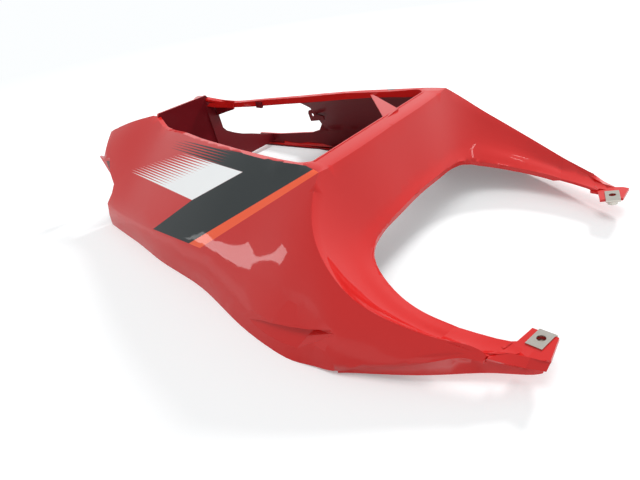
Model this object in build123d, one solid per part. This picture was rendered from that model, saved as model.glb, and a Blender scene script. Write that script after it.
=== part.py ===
from build123d import *
import math
import os

os.makedirs("parts", exist_ok=True)

# Motorcycle tail fairing, in mm. +X is the front of the bike, +Y its left, +Z up.
# The part rests on the bottom edges of its side panels at z = 0.

# Driving dimensions
WALL = 3.0
FLANGE_THICK = 2.5
RIM_WIDTH = 6.0
RIM_DROP = 1.2
DECK_OVERLAP = 5.0
RIM_FLANGE = 7.0
OPENING_CORNER_R = 12.0
RIDGE_X = 108.0
RIDGE_Z = 119.1
CROSSBAR_BACK_X = 88.0
LIP_DEPTH = 5.0
SLOPE_SAG = 3.5
SLOPE_OVERRUN = 20.0
BULKHEAD_X = -219.0
BULKHEAD_TOP = 112.0
BULKHEAD_FOLD_Z = 80.0
BULKHEAD_FOOT_X = -208.0
BULKHEAD_FOOT_Z = 8.0
BOTTOM_FLANGE = 8.0
FLANGE_LIFT = 0.5
BOTTOM_FLANGE_BACK_X = -225.0
BOTTOM_FLANGE_FRONT_X = 100.0
LAP_INSET = 1.0
RECESS_DEPTH = 5.0
BACKING = 4.0
PLATE_THICK = 2.6
PLATE_HOLE_D = 8.0
PLATE_TILT = 11.0
CLIP_X = 286.0
CLIP_Y = 114.0
CLIP_Z = 25.5
CLIP_TURN = 14.7
CLIP_SHEET = 0.9
CLIP_GAP = 0.06
CLIP_W = 12.5
CLIP_L = 19.5
CLIP_HOLE_D = 6.4
THREAD_MINOR_D = 5.0
COLLAR_D = 9.0
COLLAR_LENGTH = 5.0
TAB_SINK = 1.7
TAB_HOLE_D = 5.0
SHIFT_X = -3.0

# Room beyond the part for the tools that cut it
CLEAR = 40.0
FAR = 400.0

# Side panel sections: x, then (y, z) of the rim line, mid facet, side crease, lower band, bottom.
SIDE = [
    (-298, (56, 101), (97, 66), (130, 22), (134, 10), (135, 0)),
    (-262, (54, 105), (101, 70), (136, 25), (140, 12), (141, 0)),
    (-230, (42, 110.5), (98, 72), (141, 28), (145, 13), (146, 0)),
    (-188, (55.8, 102.2), (101.5, 69.5), (147.5, 27), (151, 13), (152.3, 0)),
    (-143, (65.2, 104.2), (109, 71.5), (153.8, 29.5), (157.5, 14), (158.8, 0)),
    (-94, (78.5, 107.4), (119, 74.5), (159.3, 33.5), (165, 15), (167.7, 0)),
    (-12, (97.8, 114), (133, 80.5), (165.5, 39.7), (174, 17), (177.1, 0)),
    (61, (108.9, 118.6), (142.5, 84), (174, 41), (187, 20), (195.5, 0)),
    (108, (116, 120), (153.5, 87), (181.5, 41), (195, 22), (202.8, 0)),
    (128, (127, 114), (155.3, 88.2), (183, 41), (196, 22), (203.2, 0)),
    (149, (136, 99), (167.4, 71.6), (186, 41), (196, 21), (199.5, 1.5)),
    (165, (141, 87), (171.6, 61.7), (188.5, 36), (195, 19), (197.5, 4)),
    (186, (143, 73), (171.3, 51.8), (184, 31), (188, 20), (190, 12)),
    (206, (142, 61), (166.7, 44.5), (176, 31), (180, 23), (182, 17)),
    (232, (138, 48), (158.1, 36.6), (163.5, 30.5), (166.2, 26.5), (168, 23.5)),
    (256, (133, 39.5), (150.6, 29.9), (152.6, 28), (153.6, 26.6), (154.4, 25.4)),
    (278, (128, 32), (138.5, 22.5), (141, 20), (142, 18.5), (143, 17)),
]

# Front slope, from the arm tip to the middle: crease point, point on the seat edge,
# then width and rise of the lip along that edge.
SLOPE = [
    ((262, 148.6, 27.6), (270.8, 125.3, 24), 9, 0.8),
    ((231.9, 158.1, 36.6), (234.9, 131.3, 26), 10.5, 1.8),
    ((206.2, 166.7, 44.5), (206, 132.1, 29.5), 11.5, 3.0),
    ((186, 171.3, 51.8), (184, 127.5, 33), 12.5, 4.0),
    ((165, 171.6, 61.7), (164.5, 118.8, 37.7), 14, 5.0),
    ((148.9, 167.4, 71.6), (152, 110, 41.5), 15, 6.0),
    ((128.2, 155.3, 88.2), (142, 97, 47), 16, 7.0),
    ((111.3, 127.5, 111.0), (137.3, 80, 50.6), 14, 8.0),
    ((RIDGE_X, 75, RIDGE_Z), (135.5, 46, 53), 9.5, 7.5),
    ((RIDGE_X, 0, RIDGE_Z), (134.8, 0, 54.5), 7.5, 7.0),
]

# Recessed lower strip of the arm: x, then (y, z) of its bottom and top edges.
LAP = [
    (168, (196.5, 1.5), (195, 9)),
    (178, (191.5, 2.5), (190.5, 15)),
    (195, (185, 5), (183.5, 20)),
    (212, (178.3, 7.5), (177, 24)),
    (242, (161.5, 9.5), (161, 29)),
    (258, (152.5, 11.5), (149, 28)),
    (272, (146, 13), (141, 26)),
    (294, (134.5, 15), (131, 25)),
]

# Rear edge in plan, from the tail light notch round the horn to the bottom.
REAR_EDGE = [
    (BULKHEAD_X, 40), (-290.5, 73), (-275, 103), (-262, 102), (-248, 115),
    (-230, 124), (-227, 132.5), (-230, 141), (-228.5, 146), (-226, 150),
]

# Half outline of the rear cross wall, from the middle of its top edge to its foot.
BULKHEAD_EDGE = [
    (0, BULKHEAD_TOP), (40, BULKHEAD_TOP), (44, 106), (44, BULKHEAD_FOLD_Z), (56, BULKHEAD_FOLD_Z),
    (63, 60), (72, 50), (86, 39), (110, 28), (146, 18), (146, BULKHEAD_FOOT_Z), (0, BULKHEAD_FOOT_Z),
]

# Hanging corner of the horn, in X and Z.
HORN_EDGE = [(-289, 67), (-262, 69), (-276, 38)]
HORN_Y = 99.0

# Access opening in the left panel, in X and Z.
ACCESS_EDGE = [
    (-196, 94), (-234, 71), (-310, 69), (-310, 19), (-228, 19), (-190, 20), (-128, 27),
    (-112, 33), (-97, 48), (-93, 62), (-85, 84), (-88, 94), (-99, 97),
]

# Fixing tab at the front end of the access opening, in X and Z, and the middle of its hole.
TAB_EDGE = [(-98.5, 77), (-80, 84), (-84, 46), (-114, 51.6)]
TAB_HOLE = (-99.6, 125.7, 67)

# Scoop in the lower band, in X and Z, and three points of its floor.
RECESS_EDGE = [
    (75, 12.6), (102, 20.5), (133, 28), (161, 37), (163, 33), (151, 25.5), (132, 13), (103, 8.4), (83, 10.4),
]
RECESS_BACK = (83, 195.7, 10.4)
RECESS_FRONT = (132, 198.6, 13)
RECESS_TOP = (133, 192 - RECESS_DEPTH, 28)

# Bracket plate at the arm tip, seen square on, from the middle of its clip nut.
PLATE_EDGE = [(15.2, 14.6), (9.2, 19.3), (-8.4, 31.1), (-16.6, 31.2), (-18.7, 15.3), (-11.8, 10.3)]
PLATE_END_X = (-11.2, 8.4)

# Small web across the front corner of the passenger opening: its ends in plan, low and high.
GUSSET_ENDS = ((15, 103.2), (89.5, 52))
GUSSET_LOW = 109.2
GUSSET_HIGH = 112.6


def unit(a, b):
    d = math.hypot(b[0] - a[0], b[1] - a[1])
    return ((b[0] - a[0]) / d, (b[1] - a[1]) / d)


def inset(points, wall):
    # offset of a 2-D line to its right by wall, with mitred corners
    out = []
    last = len(points) - 1
    for i, p in enumerate(points):
        before = unit(points[i - 1], p) if i > 0 else unit(p, points[i + 1])
        after = unit(p, points[i + 1]) if i < last else before
        mitre = (before[1] + after[1], -before[0] - after[0])
        scale = wall / (mitre[0] * before[1] - mitre[1] * before[0])
        out.append((p[0] + scale * mitre[0], p[1] + scale * mitre[1]))
    return out


def polygon_loft(sections, ruled=False):
    return Solid.make_loft([Wire.make_polygon(s, close=True) for s in sections], ruled=ruled)


def plan_prism(points):
    face = make_face(Polyline(*[(x, y, -FAR) for x, y in points], close=True))
    return extrude(face, FAR * 2, dir=(0, 0, 1))


def side_prism(points, inner, outer):
    # prism along Y of an outline in X and Z
    face = make_face(Polyline(*[(x, inner, z) for x, z in points], close=True))
    return extrude(face, outer - inner, dir=(0, 1, 0))


def mirrored(shape):
    return mirror(shape, Plane.XZ)


def pair(shape):
    return shape + mirrored(shape)


def side_section(x, outer, depth, drop):
    # closed outline across the part, depth inside its outer faces, with its foot lowered by drop
    deck = outer[0][1] - RIM_DROP
    half = [(0, deck), (outer[0][0] - RIM_WIDTH - DECK_OVERLAP, deck), *outer]
    if depth:
        half = inset(half, depth)
    half[-1] = (half[-1][0], outer[-1][1] - drop)
    left = [Vector(x, y, z) for y, z in half[1:]]
    right = [Vector(x, -y, z) for y, z in half[1:]]
    return Wire([
        Line(left[0], left[1]),
        Spline([left[1], left[2], left[3]]),
        Line(left[3], left[4]),
        Line(left[4], left[5]),
        Line(left[5], right[5]),
        Line(right[5], right[4]),
        Line(right[4], right[3]),
        Spline([right[3], right[2], right[1]]),
        Line(right[1], right[0]),
        Line(right[0], left[0]),
    ])


def side_fill(depth, drop):
    return Solid.make_loft([side_section(x, outer, depth, drop) for x, *outer in SIDE], ruled=False)


def slope_frame(crease, edge):
    # unit vector in plan from the seat edge to the crease, and the distance between them
    direction = unit(edge, crease)
    reach = math.hypot(crease[0] - edge[0], crease[1] - edge[1])
    return direction, reach


def slope_point(edge, direction, side, distance, z):
    return Vector(edge[0] + direction[0] * distance, side * (edge[1] + direction[1] * distance), z)


def slope_cut_section(crease, edge, lip_width, lip_rise, side, depth):
    # what lies above the front slope, in the upright plane through its crease and its seat edge
    direction, reach = slope_frame(crease, edge)
    foot = (lip_width, edge[2] + lip_rise)
    run = reach - foot[0]
    rise = crease[2] - foot[1]

    def hollow(t):
        return (foot[0] + run * t, foot[1] + rise * t - 4 * SLOPE_SAG * t * (1 - t))

    line = [(0, edge[2]), foot, hollow(0.5), hollow(1), hollow(1 + SLOPE_OVERRUN / run)]
    if depth:
        line = inset(line, depth)
    start = line[0][0] - 1
    points = [(start, line[0][1]), *line, (line[-1][0], FAR), (start, FAR)]
    o = [slope_point(edge, direction, side, d, z) for d, z in points]
    return Wire([
        Line(o[0], o[1]), Line(o[1], o[2]), Spline([o[2], o[3], o[4], o[5]]),
        Line(o[5], o[6]), Line(o[6], o[7]), Line(o[7], o[0]),
    ])


def slope_cut(depth):
    left = [slope_cut_section(*row, 1, depth) for row in SLOPE]
    right = [slope_cut_section(*row, -1, depth) for row in reversed(SLOPE[:-1])]
    return Solid.make_loft(left + right, ruled=False)


def seat_cut(depth):
    # the rider's seat space between the arms, depth outside the seat edge
    edge = []
    for crease, point, *_ in SLOPE:
        direction, _ = slope_frame(crease, point)
        edge.append((point[0] + direction[0] * depth, point[1] + direction[1] * depth))
    along = unit(edge[1], edge[0])
    tip = (edge[0][0] + along[0] * CLEAR, edge[0][1] + along[1] * CLEAR)
    curve = Spline([(x, y, -FAR) for x, y in edge] + [(x, -y, -FAR) for x, y in reversed(edge[:-1])])
    ends = Polyline(
        (edge[0][0], -edge[0][1], -FAR), (tip[0], -tip[1], -FAR),
        (tip[0], tip[1], -FAR), (edge[0][0], edge[0][1], -FAR),
    )
    return extrude(make_face([curve, ends]), FAR * 2, dir=(0, 0, 1))


def below_lip():
    # room under the turned-down lip of the seat edge
    line = [(edge[0], edge[2] - LIP_DEPTH) for _, edge, *_ in reversed(SLOPE)]
    first = line[0]
    last = line[-1]
    low = [(last[0] + CLEAR, last[1]), (last[0] + CLEAR, -CLEAR), (first[0] - CLEAR, -CLEAR), (first[0] - CLEAR, first[1])]
    return side_prism(line + low, -FAR, FAR) & seat_cut(WALL * 2)


def skin():
    outer = side_fill(0, 0) - slope_cut(0) - seat_cut(0)
    inner = side_fill(WALL, CLEAR) - slope_cut(WALL) - seat_cut(WALL)
    return outer - inner - below_lip()


def opening_outline():
    # passenger opening in plan, with round front corners
    line = [(x, rim[0] - RIM_WIDTH) for x, rim, *_ in SIDE if BULKHEAD_X < x < CROSSBAR_BACK_X]
    (x0, y0), (x1, y1) = line[0], line[1]
    back = BULKHEAD_X + WALL
    line.insert(0, (back, y0 + (y1 - y0) / (x1 - x0) * (back - x0) * 2))
    (x0, y0), (x1, y1) = line[-2], line[-1]
    line.append((CROSSBAR_BACK_X, y1 + (y1 - y0) / (x1 - x0) * (CROSSBAR_BACK_X - x1)))
    face = make_face(Polyline(*line, *[(x, -y) for x, y in reversed(line)], close=True))
    return fillet(face.vertices().group_by(Axis.X)[-1], OPENING_CORNER_R)


def opening_flange(outline):
    # flange turned down round the passenger opening, before the opening itself is cut
    stations = [(x, rim) for x, rim, *_ in SIDE if BULKHEAD_X - CLEAR < x < RIDGE_X + 1]
    band = polygon_loft([
        [
            (x, rim[0] + 1, rim[1] - RIM_DROP - 1), (x, rim[0] + 1, rim[1] - RIM_DROP - RIM_FLANGE),
            (x, -rim[0] - 1, rim[1] - RIM_DROP - RIM_FLANGE), (x, -rim[0] - 1, rim[1] - RIM_DROP - 1),
        ]
        for x, rim in stations
    ])
    ring = extrude(Pos(0, 0, -FAR) * offset(outline, FLANGE_THICK), FAR * 2)
    return ring & band


def rear_cut():
    edge = REAR_EDGE + [(REAR_EDGE[-1][0], FAR), (-FAR, FAR), (-FAR, -1), (BULKHEAD_X, -1)]
    return pair(plan_prism(edge))


def tip_cut():
    crease, edge, *_ = SLOPE[0]
    dx, dy = unit(edge, crease)
    start = (edge[0] - dx * CLEAR, edge[1] - dy * CLEAR)
    end = (crease[0] + dx * CLEAR, crease[1] + dy * CLEAR)
    out = (dy * CLEAR, -dx * CLEAR)
    beyond = [start, end, (end[0] + out[0], end[1] + out[1]), (start[0] + out[0], start[1] + out[1])]
    return pair(plan_prism(beyond))


def bulkhead():
    # rear cross wall, upright above its fold and leaning forward below it
    face = make_face(Polyline(*[(BULKHEAD_X - 1, y, z) for y, z in BULKHEAD_EDGE], close=True))
    wall = pair(extrude(face, CLEAR, dir=(1, 0, 0)))
    profile = [
        (BULKHEAD_X, FAR), (BULKHEAD_X + WALL, FAR), (BULKHEAD_X + WALL, BULKHEAD_FOLD_Z),
        (BULKHEAD_FOOT_X + WALL, 0), (BULKHEAD_FOOT_X, 0), (BULKHEAD_X, BULKHEAD_FOLD_Z),
    ]
    return side_prism(profile, -FAR, FAR) & wall


def bottom_flange():
    sections = []
    for x, *outer in SIDE:
        if x <= RIDGE_X:
            y = outer[-1][0] - WALL / 2
            inner = y - BOTTOM_FLANGE
            low = FLANGE_LIFT
            high = FLANGE_LIFT + FLANGE_THICK
            sections.append([(x, y, low), (x, inner, low), (x, inner, high), (x, y, high)])
    length = BOTTOM_FLANGE_FRONT_X - BOTTOM_FLANGE_BACK_X
    middle = (BOTTOM_FLANGE_FRONT_X + BOTTOM_FLANGE_BACK_X) / 2
    return polygon_loft(sections, ruled=True) & (Pos(middle, 0, 0) * Box(length, FAR * 2, FAR))


def lap_strip():
    sections = []
    for x, (low_y, low_z), (high_y, high_z) in LAP:
        low = low_y - LAP_INSET
        high = high_y - LAP_INSET
        sections.append([
            (x, low, low_z), (x, high, high_z), (x, high - FLANGE_THICK, high_z), (x, low - FLANGE_THICK, low_z),
        ])
    return polygon_loft(sections)


def clip_plane():
    # on top of the bracket plate, at the middle of its clip nut, with Y along the clip
    tilt = math.radians(PLATE_TILT)
    turn = math.radians(CLIP_TURN)
    across = Vector(math.cos(turn), math.sin(turn), math.tan(tilt) * math.cos(turn))
    return Plane((CLIP_X, CLIP_Y, CLIP_Z), x_dir=across, z_dir=(-math.sin(tilt), 0, math.cos(tilt)))


def fold_radius():
    return PLATE_THICK / 2 + CLIP_GAP + CLIP_SHEET


def fold_centre():
    return fold_radius() - CLIP_L / 2


def bracket_plate():
    end = fold_centre() + CLIP_GAP
    outline = [(PLATE_END_X[0], end), (PLATE_END_X[1], end), *PLATE_EDGE]
    plate = extrude(make_face(Polyline(*outline, close=True)), -PLATE_THICK)
    hole = Cylinder(PLATE_HOLE_D / 2, PLATE_THICK * 3)
    return clip_plane() * (plate - hole)


def clip_nut():
    # folded sheet clip: two leaves over the plate, with a threaded collar on the lower one
    middle = -PLATE_THICK / 2
    length = CLIP_L / 2 - fold_centre()
    centre = fold_centre() + length / 2
    height = fold_radius() * 2
    gap = height - CLIP_SHEET * 2
    outer = Pos(0, centre, middle) * Box(CLIP_W, length, height)
    outer += Pos(0, fold_centre(), middle) * Rot(0, 90, 0) * Cylinder(height / 2, CLIP_W)
    inner = Pos(0, centre + 1, middle) * Box(CLIP_W * 2, length + 2, gap)
    inner += Pos(0, fold_centre(), middle) * Rot(0, 90, 0) * Cylinder(gap / 2, CLIP_W * 2)
    collar_top = -PLATE_THICK - CLIP_GAP
    collar_height = CLIP_SHEET + COLLAR_LENGTH
    collar = Pos(0, 0, collar_top - collar_height / 2) * Cylinder(COLLAR_D / 2, collar_height)
    thread = Pos(0, 0, collar_top - collar_height / 2) * Cylinder(THREAD_MINOR_D / 2, collar_height * 1.5)
    clearance = Pos(0, 0, CLIP_SHEET) * Cylinder(CLIP_HOLE_D / 2, CLIP_SHEET * 3)
    return clip_plane() * ((outer - inner) + collar - thread - clearance)


def gusset():
    (x0, y0), (x1, y1) = GUSSET_ENDS
    dx, dy = unit(*GUSSET_ENDS)
    line = [(x0, y0), (x1, y1), (x1 - dy * FLANGE_THICK, y1 + dx * FLANGE_THICK),
            (x0 - dy * FLANGE_THICK, y0 + dx * FLANGE_THICK)]
    face = make_face(Polyline(*[(x, y, GUSSET_LOW) for x, y in line], close=True))
    return extrude(face, GUSSET_HIGH - GUSSET_LOW, dir=(0, 0, 1))


def horn_corner():
    return side_prism(HORN_EDGE, HORN_Y, HORN_Y + FLANGE_THICK)


def access_cut():
    return side_prism(ACCESS_EDGE, CLEAR + WALL * 5, FAR)


def fixing_tab(shell):
    # tab behind the panel, following its face
    tab = (Pos(0, -TAB_SINK, -TAB_SINK) * shell) & side_prism(TAB_EDGE, CLEAR, FAR)
    hole = Plane(TAB_HOLE, z_dir=(0, 1, 1)) * Cylinder(TAB_HOLE_D / 2, CLEAR)
    return tab - hole


def recess_backing(shell):
    middle = (sum(x for x, _ in RECESS_EDGE) / len(RECESS_EDGE), sum(z for _, z in RECESS_EDGE) / len(RECESS_EDGE))
    grown = []
    for x, z in RECESS_EDGE:
        dx, dz = unit(middle, (x, z))
        grown.append((x + dx * BACKING, z + dz * BACKING))
    return (Pos(0, -BACKING, 0) * shell) & side_prism(grown, CLEAR, FAR)


def recess_cut():
    back = Vector(*RECESS_BACK)
    normal = (Vector(*RECESS_TOP) - back).cross(Vector(*RECESS_FRONT) - back)
    outside = Plane(back, z_dir=normal) * Box(FAR, FAR, FAR, align=(Align.CENTER, Align.CENTER, Align.MIN))
    return side_prism(RECESS_EDGE, CLEAR, FAR) & outside


def tail_shell():
    outline = opening_outline()
    shell = skin() - tip_cut() - rear_cut()
    shell += opening_flange(outline)
    shell -= extrude(Pos(0, 0, -FAR) * outline, FAR * 2)
    details = [bottom_flange(), lap_strip(), bracket_plate(), horn_corner(), gusset()]
    shell = shell + [bulkhead(), *details, *[mirrored(d) for d in details]]
    shell -= access_cut()
    return shell - Pos(0, 0, -CLEAR / 2) * Box(FAR * 2, FAR * 2, CLEAR)


def write(name, shape):
    export_step(Pos(SHIFT_X, 0, 0) * shape, f"parts/{name}.step")


clip = clip_nut()
write("tail_shell", tail_shell())
write("clip_nut_left", clip)
write("clip_nut_right", mirrored(clip))
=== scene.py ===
"""Motorcycle tail fairing: paint, graphics, recesses, arm ends and small plates on the CAD shell."""
import math

import bmesh
import bpy
from mathutils import Matrix, Vector
from mathutils.bvhtree import BVHTree


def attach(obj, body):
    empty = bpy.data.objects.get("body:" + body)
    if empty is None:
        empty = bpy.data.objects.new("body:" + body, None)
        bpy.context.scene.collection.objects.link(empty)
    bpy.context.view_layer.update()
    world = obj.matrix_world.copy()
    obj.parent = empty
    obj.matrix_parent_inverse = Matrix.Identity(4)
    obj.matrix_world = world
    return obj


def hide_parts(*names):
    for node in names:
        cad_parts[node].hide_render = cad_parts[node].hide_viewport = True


# Camera of the photograph, worked out from the two clips and the floor.
CAMERA_PLACE = Vector((0.329669, -0.375, 0.275232))
CAMERA_RIGHT = Vector((0.78683531, 0.60411276, -0.12624566))
CAMERA_UP = Vector((-0.2447198, 0.49319078, 0.83479044))
CAMERA_FORWARD = Vector((-0.56657075, 0.62594778, -0.53589827))
FOCAL_PIXELS = 470.0
IMAGE_WIDTH = 640
IMAGE_HEIGHT = 480
SENSOR_WIDTH = 36.0
CAMERA_NEAR = 0.01

# Colours, linear. RED_SHADE and INNER_SHADE make the darker colour that the clouds blend in.
RED = (0.60, 0.012, 0.010)
# The inside red is dark: unpainted plastic, and painted shade on the shell's inner faces and plates.
SHADED_INNER_RED = (0.15, 0.006, 0.010)
BAND_GREY = (0.028, 0.034, 0.035)
STRIPE_ORANGE = (0.92, 0.105, 0.030)
FADE_WHITE = (0.95, 0.96, 0.96)
STEEL = (0.56, 0.54, 0.49)
STEEL_STAIN = (0.36, 0.33, 0.28)
CLOTH_LIGHT = (0.92, 0.93, 0.93)
CLOTH_SHADE = (0.90, 0.92, 0.92)
SKY_TINT = (0.97, 0.99, 1.0)
RED_SHADE = 0.86
INNER_SHADE = 0.84

# Patterns of the finishes: how fine each one is, and how much of it shows in the colour.
PAINT_CLOUD = 9.0
PAINT_CLOUD_SHARE = 0.25
PAINT_RIPPLE = 60.0
PAINT_DUST = 420.0
INNER_CLOUD = 30.0
INNER_CLOUD_SHARE = 0.3
STEEL_BRUSHING = (900.0, 90.0, 900.0)
STEEL_STAINS = 160.0
STEEL_STAIN_SHARE = 0.5
CLOTH_GRAIN = 3.0
CLOTH_GRAIN_SHARE = 0.3

# Roughness and lacquer of the finishes, and what each pattern adds to them or takes away.
PAINT_ROUGHNESS = 0.36
FILM_ROUGHNESS = 0.16
DUST_ROUGHNESS = 0.05
LACQUER = 0.55
LACQUER_LOST_ON_BAND = 0.25
LACQUER_LOST_INSIDE = 0.42
INNER_ROUGHNESS = 0.38
INNER_CLOUD_ROUGHNESS = 0.08
STEEL_ROUGHNESS = 0.26
BRUSHING_ROUGHNESS = 0.14
STAIN_ROUGHNESS = 0.08

# Heights of the lacquer's ripple and of the steel's brushing, in metres at full strength.
RIPPLE_HEIGHT = 0.001
BRUSHING_HEIGHT = 0.0002

# Where the darker inside red is painted, for unpainted plastic and as painted shade: on walls facing
# inwards, below the rim's flange and behind the front limit, on the rear cross wall, and on faces
# that point down above ARM_BACK_Z.
RIM_RISE = 0.067
RIM_LEVEL = 0.1062
BULKHEAD_FRONT = -0.195
ARM_BACK_Z = 0.032
BARE_SHADE_FRONT = 0.085
BARE_SHADE_SOFTNESS = 0.001

# How far a face has to turn to count as outside, inside, level, or part of the cross wall.
OUTSIDE_TURN = 0.25
INSIDE_TURN = 0.2
LEVEL_TURN = 0.35
CROSS_WALL_TURN = 0.4
TURN_SOFTNESS = 0.02

# Corners of the side graphics in the photograph's pixels.
BAND_TIP = (315.0, 168.0)
BAND_FOOT_FRONT = (187.0, 244.5)
BAND_FOOT_REAR = (153.0, 229.0)
BLOCK_TIP = (242.5, 172.0)
BLOCK_FOOT = (192.0, 200.0)
BLOCK_REAR = (128.5, 170.5)
BLOCK_TOP = (181.0, 153.0)
STRIPE_TIP = (318.5, 172.5)
STRIPE_FOOT = (200.0, 248.0)
BAND_TOP_REAR = (223.5, 149.0)
BAND_TOP_FRONT = (313.0, 167.0)
BAND_FADE_TOP = (236.0, 152.0)
BAND_FADE_FOOT = (219.0, 170.0)
BAND_FADE_LENGTH = 0.062
LINE_PITCH = 0.0029
SIDE_CREASE = [(108.0, 205.0), (153.0, 229.0), (206.0, 250.5)]
GRAPHICS_SOFTNESS = 0.0004

# Pixels that say on which side of its edges each shape lies.
ABOVE_CREASE_PIXEL = (170.0, 200.0)
BAND_PIXEL = (240.0, 195.0)
WHITE_PIXEL = (190.0, 175.0)
STRIPE_PIXEL = (250.0, 210.0)
AHEAD_PIXEL = (300.0, 300.0)

# How the band and the white block fade out into lines.
BAND_LINE_SHIFT = 0.35
BAND_FADE_GAIN = 1.1
BAND_FADE_START = 1.05
BAND_FADE_SOFTNESS = 0.12
WHITE_FADE_GAIN = 1.9
WHITE_LINE_GAIN = 0.95
WHITE_FADE_START = 0.02
WHITE_FADE_SOFTNESS = 0.10

# Recess in the side panel, in the photograph's pixels: its upper edge with the depth there
# in metres, its front tip, and its lower edge from the front to the back.
RECESS_TOP = [
    ((249.0, 318.5), 0.0), ((262.0, 320.5), 0.0022), ((276.0, 324.0), 0.0042),
    ((290.0, 327.0), 0.0056), ((309.0, 329.5), 0.0068),
]
RECESS_CORNER = (330.0, 330.0)
RECESS_TIP = (334.0, 335.0)
RECESS_LOW = [(297.0, 348.0), (284.0, 343.5), (270.0, 336.5), (258.0, 328.0)]
RECESS_SHEET = 0.0015

# Plates inside the shell, in metres.
SHEET = 0.0025
WING_TOP_X = -0.2192
WING_FOOT_X = -0.2082
WING_FOLD_Z = 0.080
WING_EDGE = [
    (0.036, 0.106), (0.0485, 0.106), (0.0495, 0.078), (0.0525, 0.062), (0.0580, 0.0550),
    (0.0705, 0.0475), (0.086, 0.040), (0.1034, 0.0339), (0.125, 0.0255), (0.146, 0.018),
    (0.146, 0.008), (0.036, 0.008),
]
HORN_PLATE_Y = 0.050
HORN_PLATE = [(-0.224, 0.1035), (-0.175, 0.104), (-0.179, 0.092), (-0.214, 0.081), (-0.224, 0.079)]
GUSSET_APEX = (0.011, 0.104, 0.1125)
GUSSET_FRONT = (398.0, 108.5)
GUSSET_LOW = (384.5, 119.5)
GUSSET_X = 0.090
FLANGE_PLAN = [
    (-0.210, 0.1500), (-0.201, 0.1530), (-0.161, 0.1580), (-0.128, 0.1540), (-0.097, 0.1530),
    (-0.050, 0.1560), (0.000, 0.1620), (0.060, 0.1780), (0.100, 0.1970),
    (0.060, 0.1940), (-0.012, 0.1755), (-0.094, 0.1660), (-0.143, 0.1572), (-0.188, 0.1510),
]
FLANGE_LIFT = 0.0005
TAB_Y = 0.118
TAB_OUTLINE = [
    (308.4, 110.5), (313.6, 109.3), (316.5, 114.5), (323.5, 116.5), (323.5, 120.0),
    (311.0, 121.2), (308.0, 113.0),
]
TAB_HOLE = (312.3, 115.0)
TAB_HOLE_R = 0.0024
HOLE_POINTS = 20
RIM_BLOCK_PIXEL = (258.5, 101.0)
RIM_BLOCK_HALF = Vector((0.0050, 0.0018, 0.0040))
RIM_BLOCK_DROP = 0.0050
LIP_X = (0.0850, 0.0868)
LIP_HALF = 0.0980
LIP_Z = (0.1145, 0.1200)

# Front slope at the tip of the arm: crease point and seat edge point, from the back to the tip.
ARM_ROWS = [
    ((0.2250, 0.1590, 0.0376), (0.2290, 0.1316, 0.0262)),
    ((0.2390, 0.1557, 0.0336), (0.2440, 0.1296, 0.0255)),
    ((0.2510, 0.1515, 0.0298), (0.2570, 0.1272, 0.0247)),
    ((0.2590, 0.1480, 0.0272), (0.2677, 0.1240, 0.0240)),
]
ARM_END = [
    (0.2587, 0.1478, 0.0268), (0.2620, 0.1410, 0.0252), (0.2655, 0.1340, 0.0243),
    (0.2690, 0.1275, 0.0240),
]

# Foot of that slope, where it runs out on the bracket and the slanted face of the strip.
ARM_FOOT = [
    (0.2592, 0.1505, 0.0272), (0.2640, 0.1425, 0.0262), (0.2700, 0.1368, 0.0254),
    (0.2745, 0.1335, 0.0239), (0.2760, 0.1275, 0.0240),
]
ARM_STEPS = 6
ARM_HOLLOW = 0.0012
ARM_SHEET = 0.0028
ARM_LIFT = 0.0002
CAST_HEIGHT = 0.1

# Chamfer of the recessed strip at the arm's tip: its fold and its top edge, from the back.
FACET_FOLD = [
    (0.2590, 0.1510, 0.0275), (0.2690, 0.1460, 0.0240), (0.2810, 0.1402, 0.0206),
    (0.2930, 0.1350, 0.0190),
]
FACET_TOP = [
    (0.2640, 0.1420, 0.0262), (0.2700, 0.1365, 0.0256), (0.2820, 0.1342, 0.0252),
    (0.2940, 0.1314, 0.0246),
]
FACET_CLEAR = Vector((0.0, 0.010, 0.010))
FACET_SHEET = 0.0022

# Front corner of the passenger opening, in plan, where the CAD shell has a thin web.
CORNER_PLAN = [
    (-0.015, 0.0914), (0.058, 0.1025), (0.070, 0.1035), (0.0795, 0.1005), (0.0838, 0.094),
    (0.0838, 0.012), (-0.015, 0.012),
]
CORNER_HEIGHT = (0.090, 0.126)

# Crease between a side panel and the front slope, from the arm's tip to the ridge.
CREASE_LINE = [
    (0.2289, 0.1581, 0.0366), (0.2032, 0.1667, 0.0445), (0.1830, 0.1713, 0.0518),
    (0.1620, 0.1716, 0.0617), (0.1459, 0.1674, 0.0716), (0.1252, 0.1553, 0.0882),
    (0.1083, 0.1275, 0.1110), (0.1050, 0.0750, 0.1191), (0.1050, 0.0, 0.1191),
]
CREASE_REACH = 0.004
CREASE_ANGLE = math.radians(14)
EDGE_ROUNDING = 0.0010
ROUNDING_STEPS = 3

# How far the recess cutters reach outside and inside the panel, and how meshes are finished.
CUT_OUT = 0.010
CUT_IN = 0.011
MERGE_PIECE = 1e-6
MERGE_SHELL = 1e-5
SHARP_ANGLE = math.radians(20)

# Light and floor.
KEY_PLACE = Vector((0.25, 2.1, 1.45))
LAMP_AIM = Vector((0.0, 0.0, 0.05))
KEY_SIZE = 0.50
KEY_POWER = 52.0
TOP_PLACE = Vector((0.1, -0.5, 2.2))
TOP_SIZE = 1.2
TOP_POWER = 14.0
SKY_LEVEL = 0.58
FLOOR_LIFT = 0.17
FLOOR_FADE_START = 0.75
FLOOR_FADE_LENGTH = 0.9
FLOOR_HALF = 40.0
SOFTBOX_DISTANCE = 1.6

# Small lamps seen in the paint: name, pixel of the reflection, width and height, power.
SOFTBOXES = [
    ("window", (246.0, 254.0), (0.20, 0.20), 0.70),
    ("lamp_far_arm", (470.0, 148.0), (0.10, 0.05), 0.10),
    ("lamp_far_tip", (520.0, 157.0), (0.12, 0.06), 0.12),
]


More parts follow.
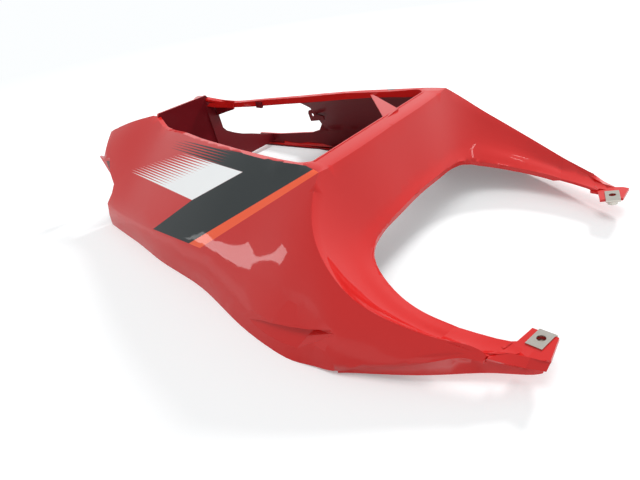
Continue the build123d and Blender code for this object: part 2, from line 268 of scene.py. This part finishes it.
class Field:
    """A number that varies over a surface. Arithmetic on it adds Math nodes."""

    def __init__(self, shader, socket):
        self.shader = shader
        self.socket = socket

    def _math(self, operation, *values):
        node = self.shader.node("ShaderNodeMath", {"operation": operation}, dict(enumerate(values)))
        return Field(self.shader, node.outputs[0])

    def __add__(self, other):
        return self._math("ADD", self, other)

    def __radd__(self, other):
        return self._math("ADD", other, self)

    def __sub__(self, other):
        return self._math("SUBTRACT", self, other)

    def __rsub__(self, other):
        return self._math("SUBTRACT", other, self)

    def __mul__(self, other):
        return self._math("MULTIPLY", self, other)

    def __rmul__(self, other):
        return self._math("MULTIPLY", other, self)

    def __truediv__(self, other):
        return self._math("DIVIDE", self, other)

    def min(self, other):
        return self._math("MINIMUM", self, other)

    def max(self, other):
        return self._math("MAXIMUM", self, other)

    def size(self):
        return self._math("ABSOLUTE", self)

    def sign(self):
        return self._math("SIGN", self)

    def part(self):
        return self._math("FRACT", self)

    def clamped(self):
        return self.max(0.0).min(1.0)

    def step(self, softness):
        """0 below zero, 1 above, over a soft width."""
        return (self / softness + 0.5).clamped()


class Shader:
    """The nodes of a material or of the world, under construction."""

    def __init__(self, owner):
        self.owner = owner
        owner.use_nodes = True
        self.tree = owner.node_tree
        self.tree.nodes.clear()

    def node(self, kind, settings=None, inputs=None):
        node = self.tree.nodes.new(kind)
        for key, value in (settings or {}).items():
            setattr(node, key, value)
        for key, value in (inputs or {}).items():
            self.feed(node.inputs[key], value)
        return node

    def feed(self, socket, value):
        if isinstance(value, Field):
            self.tree.links.new(value.socket, socket)
        elif isinstance(value, bpy.types.NodeSocket):
            self.tree.links.new(value, socket)
        elif socket.type == "RGBA" and len(value) == 3:
            socket.default_value = (*value, 1.0)
        else:
            socket.default_value = value

    def place(self):
        """Object coordinates as three fields and as a vector socket."""
        vector = self.node("ShaderNodeTexCoord").outputs["Object"]
        parts = self.node("ShaderNodeSeparateXYZ", inputs={0: vector})
        return vector, [Field(self, out) for out in parts.outputs]

    def noise(self, vector, scale, detail=3.0, roughness=0.5):
        node = self.node(
            "ShaderNodeTexNoise",
            inputs={"Vector": vector, "Scale": scale, "Detail": detail, "Roughness": roughness},
        )
        return Field(self, node.outputs["Fac"])

    def blend(self, amount, first, second):
        node = self.node(
            "ShaderNodeMix", {"data_type": "RGBA"}, {"Factor": amount, 6: first, 7: second}
        )
        return node.outputs[2]

    def bump(self, height, strength, distance):
        node = self.node(
            "ShaderNodeBump", inputs={"Height": height, "Strength": strength, "Distance": distance}
        )
        return node.outputs["Normal"]

    def surface(self, settings):
        node = self.node("ShaderNodeBsdfPrincipled", inputs=settings)
        return self.output(node.outputs[0])

    def output(self, socket):
        self.node("ShaderNodeOutputMaterial", inputs={"Surface": socket})
        return self.owner


def material_shader(name):
    return Shader(bpy.data.materials.new(name))


def darker(colour, share):
    return tuple(part * share for part in colour)


def pixel_ray(pixel):
    """Direction from the camera through a pixel of the photograph."""
    across = (pixel[0] - IMAGE_WIDTH / 2) / FOCAL_PIXELS
    down = (pixel[1] - IMAGE_HEIGHT / 2) / FOCAL_PIXELS
    return CAMERA_FORWARD + CAMERA_RIGHT * across - CAMERA_UP * down


def edge_plane(start, end, inside):
    """Plane through the camera and two pixels, positive on the side of the inside pixel."""
    normal = pixel_ray(start).cross(pixel_ray(end)).normalized()
    if normal.dot(pixel_ray(inside)) < 0:
        normal = -normal
    return normal, -normal.dot(CAMERA_PLACE)


class SideGraphics:
    """Masks, mirrored on both side panels, of the band, stripe, white fade and painted inside shade."""

    def __init__(self, shader):
        self.shader = shader
        vector, (x, y, z) = shader.place()
        self.vector = vector
        near = shader.node("ShaderNodeCombineXYZ", inputs={0: x, 1: 0.0 - y.size(), 2: z})
        self.near = near.outputs[0]
        normal = shader.node("ShaderNodeTexCoord").outputs["Normal"]
        turns = shader.node("ShaderNodeSeparateXYZ", inputs={0: normal})
        ahead, sideways, up = [Field(shader, out) for out in turns.outputs]
        outward = sideways * y.sign()
        self.outer_face = (outward - OUTSIDE_TURN).step(TURN_SOFTNESS)
        # Painted shade: mask of the darker inside red on inward walls, downward faces and the cross
        # wall.
        rim = x * RIM_RISE + RIM_LEVEL
        walls = (0.0 - outward - INSIDE_TURN).step(TURN_SOFTNESS) * (LEVEL_TURN - up).step(TURN_SOFTNESS)
        walls = walls * (BARE_SHADE_FRONT - x).step(BARE_SHADE_SOFTNESS) * (rim - z).step(BARE_SHADE_SOFTNESS)
        below = (0.0 - up - LEVEL_TURN).step(TURN_SOFTNESS) * (z - ARM_BACK_Z).step(BARE_SHADE_SOFTNESS)
        cross_wall = (ahead - CROSS_WALL_TURN).step(TURN_SOFTNESS)
        cross_wall = cross_wall * (BULKHEAD_FRONT - x).step(BARE_SHADE_SOFTNESS)
        self.shaded_inner_face = walls.max(below).max(cross_wall)

    def edge(self, start, end, inside):
        return self.distance(start, end, inside).step(GRAPHICS_SOFTNESS)

    def distance(self, start, end, inside):
        normal, offset = edge_plane(start, end, inside)
        node = self.shader.node(
            "ShaderNodeVectorMath", {"operation": "DOT_PRODUCT"}, {0: self.near, 1: tuple(normal)}
        )
        return Field(self.shader, node.outputs["Value"]) + offset

    def above_crease(self):
        rear, centre, front = SIDE_CREASE
        behind = self.edge(rear, centre, ABOVE_CREASE_PIXEL)
        return behind.min(self.edge(centre, front, ABOVE_CREASE_PIXEL))

    def band(self):
        front = self.edge(BAND_TIP, BAND_FOOT_FRONT, BAND_PIXEL)
        rear_foot = self.edge(BLOCK_TIP, BLOCK_FOOT, BAND_PIXEL)
        rear_foot = rear_foot.min(self.edge(BLOCK_FOOT, BAND_FOOT_REAR, BAND_PIXEL))
        below_rim = self.edge(BAND_TOP_REAR, BAND_TOP_FRONT, BAND_PIXEL)
        above_block = self.edge(BLOCK_TIP, BLOCK_TOP, BAND_FADE_TOP)
        lines = self.fade_lines(BAND_LINE_SHIFT)
        run = self.distance(BAND_FADE_TOP, BAND_FADE_FOOT, BAND_TIP)
        share = run / BAND_FADE_LENGTH + 1.0
        solid = (lines + share * BAND_FADE_GAIN - BAND_FADE_START).step(BAND_FADE_SOFTNESS)
        shape = front * rear_foot.max(above_block * solid) * below_rim
        return shape * self.above_crease() * self.outer_face

    def fade_lines(self, shift):
        """0 to 1 and back across thin lines that run along the top of the white block."""
        across = self.distance(BLOCK_TIP, BLOCK_TOP, BLOCK_FOOT)
        wave = (across / LINE_PITCH + shift).part() - 0.5
        return 1.0 - wave.size() * 2.0

    def white_block(self):
        top = self.edge(BLOCK_TIP, BLOCK_TOP, WHITE_PIXEL)
        foot = self.edge(BLOCK_FOOT, BLOCK_REAR, WHITE_PIXEL)
        front = self.edge(BLOCK_TIP, BLOCK_FOOT, WHITE_PIXEL)
        back = self.edge(BLOCK_REAR, BLOCK_TOP, WHITE_PIXEL)
        box = top * foot * front * back
        run = self.distance(BLOCK_TIP, BLOCK_FOOT, WHITE_PIXEL)
        rear = self.distance(BLOCK_REAR, BLOCK_TOP, WHITE_PIXEL)
        share = rear / (run + rear)
        lines = self.fade_lines(0.0)
        solid = share * WHITE_FADE_GAIN - lines * WHITE_LINE_GAIN - WHITE_FADE_START
        return box * solid.step(WHITE_FADE_SOFTNESS) * self.outer_face

    def stripe(self):
        rear = self.edge(BAND_TIP, BAND_FOOT_FRONT, AHEAD_PIXEL)
        front = self.edge(STRIPE_TIP, STRIPE_FOOT, STRIPE_PIXEL)
        return rear * front * self.above_crease() * self.outer_face


def red_paint():
    """Glossy red paint with the side graphics and a faint ripple in the lacquer."""
    shader = material_shader("red_paint")
    graphics = SideGraphics(shader)
    cloud = shader.noise(graphics.vector, PAINT_CLOUD)
    colour = shader.blend(cloud * PAINT_CLOUD_SHARE, RED, darker(RED, RED_SHADE))
    # Painted shade: the darker inside red, also for unpainted plastic, where the inside mask is set.
    bare_and_shade = graphics.shaded_inner_face
    colour = shader.blend(bare_and_shade, colour, SHADED_INNER_RED)
    stripe = graphics.stripe()
    colour = shader.blend(stripe, colour, STRIPE_ORANGE)
    band = graphics.band()
    colour = shader.blend(band, colour, BAND_GREY)
    white = graphics.white_block()
    colour = shader.blend(white, colour, FADE_WHITE)
    film = band.max(white).max(stripe)
    ripple = shader.noise(graphics.vector, PAINT_RIPPLE, 2.0)
    dust = shader.noise(graphics.vector, PAINT_DUST, 2.0)
    return shader.surface({
        "Base Color": colour,
        "Roughness": PAINT_ROUGHNESS + film * FILM_ROUGHNESS + dust * DUST_ROUGHNESS,
        "Specular IOR Level": 0.08,
        "Coat Weight": LACQUER - band * LACQUER_LOST_ON_BAND - bare_and_shade * LACQUER_LOST_INSIDE,
        "Coat Roughness": 0.04,
        "Normal": shader.bump(ripple, 0.05, RIPPLE_HEIGHT),
    })


def shaded_plain_red():
    """The same plastic, unpainted and darker as painted shade, on the plates inside."""
    shader = material_shader("shaded_plain_red")
    vector, _ = shader.place()
    cloud = shader.noise(vector, INNER_CLOUD)
    return shader.surface({
        "Base Color": shader.blend(cloud * INNER_CLOUD_SHARE, SHADED_INNER_RED, darker(SHADED_INNER_RED, INNER_SHADE)),
        "Roughness": INNER_ROUGHNESS + cloud * INNER_CLOUD_ROUGHNESS,
        "Specular IOR Level": 0.3,
    })


def clip_steel():
    """Plated spring steel, slightly dull, with fine brushing along the clip."""
    shader = material_shader("clip_steel")
    vector, _ = shader.place()
    stretched = shader.node(
        "ShaderNodeMapping", {"vector_type": "POINT"}, {"Vector": vector, "Scale": STEEL_BRUSHING}
    )
    brushing = shader.noise(stretched.outputs[0], 1.0, 2.0)
    stain = shader.noise(vector, STEEL_STAINS)
    return shader.surface({
        "Base Color": shader.blend(stain * STEEL_STAIN_SHARE, STEEL, STEEL_STAIN),
        "Metallic": 1.0,
        "Roughness": STEEL_ROUGHNESS + brushing * BRUSHING_ROUGHNESS + stain * STAIN_ROUGHNESS,
        "Normal": shader.bump(brushing, 0.12, BRUSHING_HEIGHT),
    })


def floor_white():
    """White cloth that fades into the even sky, for the camera and in reflections."""
    shader = material_shader("floor_white")
    vector, _ = shader.place()
    grain = shader.noise(vector, CLOTH_GRAIN)
    reach = shader.node("ShaderNodeVectorMath", {"operation": "LENGTH"}, {0: vector})
    far = ((Field(shader, reach.outputs["Value"]) - FLOOR_FADE_START) / FLOOR_FADE_LENGTH).clamped()
    cloth = shader.node("ShaderNodeBsdfDiffuse", inputs={
        "Color": shader.blend(grain * CLOTH_GRAIN_SHARE, CLOTH_LIGHT, CLOTH_SHADE),
        "Roughness": 0.5,
    })
    glow = shader.node("ShaderNodeEmission", inputs={"Color": SKY_TINT, "Strength": FLOOR_LIFT})
    path = shader.node("ShaderNodeLightPath")
    seen = Field(shader, path.outputs["Is Camera Ray"]).max(path.outputs["Is Glossy Ray"])
    lifted = shader.node("ShaderNodeAddShader", inputs={0: cloth.outputs[0], 1: glow.outputs[0]})
    sky = shader.node("ShaderNodeEmission", inputs={"Color": SKY_TINT, "Strength": 1.0})
    faded = shader.node("ShaderNodeMixShader", inputs={0: far, 1: lifted.outputs[0], 2: sky.outputs[0]})
    mixed = shader.node(
        "ShaderNodeMixShader", inputs={0: seen, 1: cloth.outputs[0], 2: faded.outputs[0]}
    )
    return shader.output(mixed.outputs[0])


def dress(node, material):
    slots = node.material_slots
    if not slots:
        node.data.materials.append(material)
    for slot in slots:
        slot.material = material


def add_floor():
    mesh = bpy.data.meshes.new("floor")
    signs = ((-1, -1), (1, -1), (1, 1), (-1, 1))
    verts = [(across * FLOOR_HALF, along * FLOOR_HALF, 0) for across, along in signs]
    mesh.from_pydata(verts, [], [(0, 1, 2, 3)])
    floor = bpy.data.objects.new("floor", mesh)
    bpy.context.collection.objects.link(floor)
    mesh.materials.append(floor_white())


def add_sky():
    """Even white sky: full for the camera and in reflections, weaker as a light."""
    world = bpy.data.worlds.new("studio")
    bpy.context.scene.world = world
    shader = Shader(world)
    path = shader.node("ShaderNodeLightPath")
    seen = Field(shader, path.outputs["Is Camera Ray"]).max(path.outputs["Is Glossy Ray"])
    seen = seen.max(path.outputs["Is Transmission Ray"])
    level = shader.node("ShaderNodeMapRange", inputs={"Value": seen, "To Min": SKY_LEVEL, "To Max": 1.0})
    sky = shader.node("ShaderNodeBackground", inputs={"Color": SKY_TINT, "Strength": level.outputs[0]})
    shader.node("ShaderNodeOutputWorld", inputs={"Surface": sky.outputs[0]})


def add_lamp(name, place, size, power):
    data = bpy.data.lights.new(name, "AREA")
    data.shape = "DISK"
    data.size = size
    data.energy = power
    lamp = bpy.data.objects.new(name, data)
    lamp.location = place
    lamp.rotation_euler = (LAMP_AIM - place).to_track_quat("-Z", "Y").to_euler()
    lamp.visible_glossy = False
    bpy.context.collection.objects.link(lamp)


def add_camera():
    data = bpy.data.cameras.new("camera")
    data.sensor_width = SENSOR_WIDTH
    data.lens = FOCAL_PIXELS / IMAGE_WIDTH * SENSOR_WIDTH
    data.clip_start = CAMERA_NEAR
    camera = bpy.data.objects.new("camera", data)
    turn = Matrix((CAMERA_RIGHT, CAMERA_UP, -CAMERA_FORWARD)).transposed().to_4x4()
    camera.matrix_world = Matrix.Translation(CAMERA_PLACE) @ turn
    bpy.context.collection.objects.link(camera)
    bpy.context.scene.camera = camera


def add_softbox(name, pixel, size, power, shell):
    """A small lamp whose mirror image falls on this pixel of the shell."""
    place, normal = on_shell(shell, pixel)
    ray = pixel_ray(pixel).normalized()
    bounce = ray - 2 * ray.dot(normal) * normal
    lamp = bpy.data.lights.new(name, "AREA")
    lamp.shape = "RECTANGLE"
    lamp.size, lamp.size_y = size
    lamp.energy = power
    softbox = bpy.data.objects.new(name, lamp)
    softbox.location = place + bounce * SOFTBOX_DISTANCE
    softbox.rotation_euler = (-bounce).to_track_quat("-Z", "Y").to_euler()
    softbox.visible_diffuse = False
    bpy.context.collection.objects.link(softbox)


def on_shell(tree, pixel):
    """First point of the shell behind a pixel, and its normal towards the camera."""
    ray = pixel_ray(pixel).normalized()
    place, normal, _, _ = tree.ray_cast(CAMERA_PLACE, ray)
    if normal.dot(ray) > 0:
        normal = -normal
    return place, normal


def pixel_on_plane(pixel, y):
    """Point behind a pixel at this y."""
    ray = pixel_ray(pixel)
    return CAMERA_PLACE + ray * ((y - CAMERA_PLACE.y) / ray.y)


def pixel_at_x(pixel, x):
    """Point behind a pixel at this x."""
    ray = pixel_ray(pixel)
    return CAMERA_PLACE + ray * ((x - CAMERA_PLACE.x) / ray.x)


def finish_piece(name, builder, material):
    bmesh.ops.remove_doubles(builder, verts=builder.verts, dist=MERGE_PIECE)
    bmesh.ops.recalc_face_normals(builder, faces=builder.faces)
    mesh = bpy.data.meshes.new(name)
    builder.to_mesh(mesh)
    builder.free()
    mesh.materials.append(material)
    mesh.shade_smooth()
    mesh.set_sharp_from_angle(angle=SHARP_ANGLE)
    piece = bpy.data.objects.new(name, mesh)
    bpy.context.collection.objects.link(piece)
    return piece


def on_root(piece):
    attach(piece, "root")


def plate(name, outline, thickness, material, holes=()):
    """Flat plate: an outline and round holes, carried along the thickness vector."""
    builder = bmesh.new()
    loops = [[builder.verts.new(point) for point in loop] for loop in (outline, *holes)]
    edges = [builder.edges.new((a, b)) for loop in loops for a, b in zip(loop, loop[1:] + loop[:1])]
    faces = bmesh.ops.triangle_fill(builder, edges=edges, use_beauty=True)["geom"]
    faces = [face for face in faces if isinstance(face, bmesh.types.BMFace)]
    raised = bmesh.ops.extrude_face_region(builder, geom=faces)["geom"]
    verts = [item for item in raised if isinstance(item, bmesh.types.BMVert)]
    bmesh.ops.translate(builder, verts=verts, vec=thickness)
    on_root(finish_piece(name, builder, material))


def ring(centre, radius):
    turns = [2 * math.pi * index / HOLE_POINTS for index in range(HOLE_POINTS)]
    return [centre + Vector((math.cos(turn) * radius, 0, math.sin(turn) * radius)) for turn in turns]


def bulkhead_wing(material):
    """Outer part of the rear cross wall, on the side of the access opening."""
    def lean(z):
        return WING_TOP_X + (WING_FOOT_X - WING_TOP_X) * (1 - z / WING_FOLD_Z)
    outline = [Vector((lean(z), y, z)) for y, z in WING_EDGE]
    plate("bulkhead_wing", outline, Vector((SHEET, 0, 0)), material)


def horn_plate(material):
    outline = [Vector((x, HORN_PLATE_Y, z)) for x, z in HORN_PLATE]
    plate("horn_plate", outline, Vector((0, SHEET, 0)), material)


def gusset(material):
    low, front = [pixel_at_x(pixel, GUSSET_X) for pixel in (GUSSET_LOW, GUSSET_FRONT)]
    outline = [Vector(GUSSET_APEX), front, low]
    normal = (outline[1] - outline[0]).cross(outline[2] - outline[0]).normalized()
    plate("gusset", outline, normal * SHEET, material)


def floor_flange(material):
    outline = [Vector((x, y, FLANGE_LIFT)) for x, y in FLANGE_PLAN]
    plate("floor_flange", outline, Vector((0, 0, SHEET)), material)


def access_tab(material):
    outline = [pixel_on_plane(pixel, TAB_Y) for pixel in TAB_OUTLINE]
    hole = ring(pixel_on_plane(TAB_HOLE, TAB_Y), TAB_HOLE_R)
    plate("access_tab", outline, Vector((0, SHEET, 0)), material, [hole])


def box_piece(name, low, high, material):
    outline = [
        Vector((low[0], low[1], low[2])), Vector((high[0], low[1], low[2])),
        Vector((high[0], high[1], low[2])), Vector((low[0], high[1], low[2])),
    ]
    plate(name, outline, Vector((0, 0, high[2] - low[2])), material)


def rim_block(tree, material):
    """Small block just below the shell's point behind its pixel."""
    centre = on_shell(tree, RIM_BLOCK_PIXEL)[0] - Vector((0, 0, RIM_BLOCK_DROP))
    box_piece("rim_block", centre - RIM_BLOCK_HALF, centre + RIM_BLOCK_HALF, material)


def crossbar_lip(material):
    low = (LIP_X[0], -LIP_HALF, LIP_Z[0])
    high = (LIP_X[1], LIP_HALF, LIP_Z[1])
    box_piece("crossbar_lip", low, high, material)


def faced_up(faces):
    """Turns faces that point down, so that their wall is added below them."""
    for face in faces:
        face.normal_update()
        if face.normal.z < 0:
            face.normal_flip()


def spread(line):
    """Points spaced evenly along the spans of a line."""
    ends = [Vector(point) for point in line]
    points = [ends[0]]
    for index in range(1, ARM_STEPS):
        share = index / ARM_STEPS * (len(ends) - 1)
        low = int(share)
        points.append(ends[low].lerp(ends[min(low + 1, len(ends) - 1)], share - low))
    points.append(ends[-1])
    return points


def settled(tree, point, side):
    """The point dropped onto the shell, a hair above it."""
    above = Vector((point.x, point.y * side, CAST_HEIGHT))
    place = tree.ray_cast(above, Vector((0, 0, -1)))[0]
    if place is None:
        return point
    return Vector((point.x, point.y, place.z + ARM_LIFT))


def arm_slope(name, tree, side, material):
    """Glossy slope from the crease to the seat edge, over the last part of the arm."""
    builder = bmesh.new()
    rows = []
    for crease, edge in ARM_ROWS:
        crease, edge = Vector(crease), Vector(edge)
        row = []
        for index in range(ARM_STEPS + 1):
            share = index / ARM_STEPS
            point = crease.lerp(edge, share)
            point.z -= ARM_HOLLOW * 4 * share * (1 - share)
            row.append(point)
        rows.append(row)
    rows[0] = [settled(tree, point, side) for point in rows[0]]
    rows.append(spread(ARM_END))
    rows.append(spread(ARM_FOOT))
    grid = [[builder.verts.new((p.x, p.y * side, p.z)) for p in row] for row in rows]
    faces = []
    for row, following in zip(grid, grid[1:]):
        for index in range(ARM_STEPS):
            corner = (row[index], row[index + 1], following[index + 1], following[index])
            faces.append(builder.faces.new(corner))
    faced_up(faces)
    bmesh.ops.solidify(builder, geom=faces, thickness=ARM_SHEET)
    on_root(finish_piece(name, builder, material))


def lap_facet(name, side, material):
    """Slanted face along the top of the recessed strip at the arm's tip."""
    builder = bmesh.new()
    fold = [builder.verts.new((x, y * side, z)) for x, y, z in FACET_FOLD]
    top = [builder.verts.new((x, y * side, z)) for x, y, z in FACET_TOP]
    faces = []
    for index in range(len(fold) - 1):
        faces.append(builder.faces.new((fold[index], fold[index + 1], top[index + 1], top[index])))
    faced_up(faces)
    bmesh.ops.solidify(builder, geom=faces, thickness=FACET_SHEET)
    on_root(finish_piece(name, builder, material))


def facet_cutter(side):
    """Takes off the corner of the strip above the slanted face."""
    builder = bmesh.new()
    for line in (FACET_FOLD, FACET_TOP):
        for point in line:
            for shift in (Vector((0, 0, 0)), FACET_CLEAR):
                place = Vector(point) + shift
                builder.verts.new((place.x, place.y * side, place.z))
    bmesh.ops.convex_hull(builder, input=builder.verts)
    return cutter_object(builder)


def corner_cutter(side):
    """Clears the thin webs of the CAD shell from the front corners of the passenger opening."""
    builder = bmesh.new()
    for x, y in CORNER_PLAN:
        for z in CORNER_HEIGHT:
            builder.verts.new((x, y * side, z))
    bmesh.ops.convex_hull(builder, input=builder.verts)
    return cutter_object(builder)


def recess_points(tree):
    """Edge of the recess on the panel, and its floor, on the near side."""
    top = [on_shell(tree, pixel) for pixel, _ in RECESS_TOP]
    floor = [place - normal * depth for (place, normal), (_, depth) in zip(top, RECESS_TOP)]
    top = [place for place, _ in top]
    corner, _ = on_shell(tree, RECESS_CORNER)
    tip, _ = on_shell(tree, RECESS_TIP)
    low = [on_shell(tree, pixel)[0] for pixel in RECESS_LOW]
    return top, floor, corner, tip, low


def recess_pan(name, tree, side, material):
    top, floor, corner, tip, low = recess_points(tree)
    polygons = [
        [floor[0], floor[1], low[3]],
        [floor[1], floor[2], low[2], low[3]],
        [floor[2], floor[3], low[1], low[2]],
        [floor[3], floor[4], low[0], low[1]],
        [floor[4], tip, low[0]],
        [floor[4], corner, tip],
        [top[4], corner, floor[4]],
        [top[3], top[4], floor[4], floor[3]],
        [top[2], top[3], floor[3], floor[2]],
        [top[1], top[2], floor[2], floor[1]],
        [top[0], top[1], floor[1]],
    ]
    builder = bmesh.new()
    for polygon in polygons:
        builder.faces.new([builder.verts.new((p.x, p.y * -side, p.z)) for p in polygon])
    bmesh.ops.remove_doubles(builder, verts=builder.verts, dist=MERGE_SHELL)
    faces = list(builder.faces)
    bmesh.ops.recalc_face_normals(builder, faces=faces)
    outward = sum(face.normal.y * side for face in faces)
    if outward < 0:
        bmesh.ops.reverse_faces(builder, faces=faces)
    bmesh.ops.solidify(builder, geom=faces, thickness=RECESS_SHEET)
    on_root(finish_piece(name, builder, material))


def recess_cutter(tree, side):
    """Prism through the panel, over the outline of the recess."""
    top, _, corner, tip, low = recess_points(tree)
    outline = [*top, corner, tip, *low]
    _, normal = on_shell(tree, RECESS_TIP)
    builder = bmesh.new()
    sides = []
    for shift in (CUT_OUT, -CUT_IN):
        points = [point + normal * shift for point in outline]
        sides.append([builder.verts.new((p.x, p.y * -side, p.z)) for p in points])
    outer, inner = sides
    count = len(outline)
    builder.faces.new(outer)
    builder.faces.new(inner[::-1])
    for index in range(count):
        after = (index + 1) % count
        builder.faces.new((outer[after], outer[index], inner[index], inner[after]))
    bmesh.ops.triangulate(builder, faces=builder.faces)
    return cutter_object(builder)


def cutter_object(builder):
    bmesh.ops.recalc_face_normals(builder, faces=builder.faces)
    mesh = bpy.data.meshes.new("cutter")
    builder.to_mesh(mesh)
    builder.free()
    cutter = bpy.data.objects.new("cutter", mesh)
    bpy.context.collection.objects.link(cutter)
    return cutter


def distance_to_line(point, line):
    best = math.inf
    for start, end in zip(line, line[1:]):
        run = end - start
        share = max(0.0, min(1.0, (point - start).dot(run) / run.length_squared))
        best = min(best, (start + run * share - point).length)
    return best


def round_crease(builder):
    """Rounds the crease between the side panels and the front slope, which catches the light."""
    line = [Vector(point) for point in CREASE_LINE]
    edges = []
    for edge in builder.edges:
        if len(edge.link_faces) != 2 or not edge.is_convex or edge.calc_face_angle() < CREASE_ANGLE:
            continue
        places = [Vector((vert.co.x, abs(vert.co.y), vert.co.z)) for vert in edge.verts]
        if all(distance_to_line(place, line) < CREASE_REACH for place in places):
            edges.append(edge)
    bmesh.ops.bevel(
        builder, geom=edges, offset=EDGE_ROUNDING, offset_type="OFFSET", segments=ROUNDING_STEPS,
        profile=0.5, affect="EDGES", clamp_overlap=True,
    )


def cut_shell(cad, tree, material):
    """Copy of the CAD shell, its crease rounded, with recesses, strip corners and webs cut out."""
    builder = bmesh.new()
    builder.from_mesh(cad.data)
    bmesh.ops.remove_doubles(builder, verts=builder.verts, dist=MERGE_SHELL)
    round_crease(builder)
    mesh = bpy.data.meshes.new("painted_shell")
    builder.to_mesh(mesh)
    builder.free()
    shell = bpy.data.objects.new("painted_shell", mesh)
    bpy.context.collection.objects.link(shell)
    cutters = [recess_cutter(tree, side) for side in (-1, 1)]
    cutters += [facet_cutter(side) for side in (-1, 1)]
    cutters += [corner_cutter(side) for side in (-1, 1)]
    for cutter in cutters:
        cut = shell.modifiers.new("cut", "BOOLEAN")
        cut.operation = "DIFFERENCE"
        cut.solver = "EXACT"
        cut.object = cutter
    bpy.context.view_layer.update()
    graph = bpy.context.evaluated_depsgraph_get()
    result = bpy.data.meshes.new_from_object(shell.evaluated_get(graph))
    shell.modifiers.clear()
    shell.data = result
    for cutter in cutters:
        bpy.data.objects.remove(cutter)
    result.materials.clear()
    result.materials.append(material)
    result.shade_smooth()
    result.set_sharp_from_angle(angle=SHARP_ANGLE)
    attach(shell, "root")
    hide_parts("tail_shell")


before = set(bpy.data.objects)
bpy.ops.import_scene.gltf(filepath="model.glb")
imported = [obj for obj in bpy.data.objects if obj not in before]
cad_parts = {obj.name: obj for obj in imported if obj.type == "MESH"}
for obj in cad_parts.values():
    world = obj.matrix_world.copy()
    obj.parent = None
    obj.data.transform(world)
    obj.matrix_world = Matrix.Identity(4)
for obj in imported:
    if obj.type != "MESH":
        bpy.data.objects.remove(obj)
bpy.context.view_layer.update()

cad_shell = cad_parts["tail_shell"]
shell_tree = BVHTree.FromObject(cad_shell, bpy.context.evaluated_depsgraph_get())
paint = red_paint()
inner = shaded_plain_red()
cut_shell(cad_shell, shell_tree, paint)
for side, label in ((-1, "right"), (1, "left")):
    recess_pan("recess_pan_" + label, shell_tree, side, paint)
    arm_slope("arm_slope_" + label, shell_tree, side, paint)
    lap_facet("lap_facet_" + label, side, paint)
bulkhead_wing(inner)
horn_plate(paint)
gusset(paint)
floor_flange(paint)
access_tab(inner)
rim_block(shell_tree, inner)
crossbar_lip(paint)
steel = clip_steel()
dress(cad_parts["clip_nut_left"], steel)
dress(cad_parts["clip_nut_right"], steel)

add_floor()
add_sky()
add_lamp("key", KEY_PLACE, KEY_SIZE, KEY_POWER)
add_lamp("top", TOP_PLACE, TOP_SIZE, TOP_POWER)
for name, pixel, size, power in SOFTBOXES:
    add_softbox(name, pixel, size, power, shell_tree)
add_camera()
bpy.context.scene.view_settings.view_transform = "Standard"
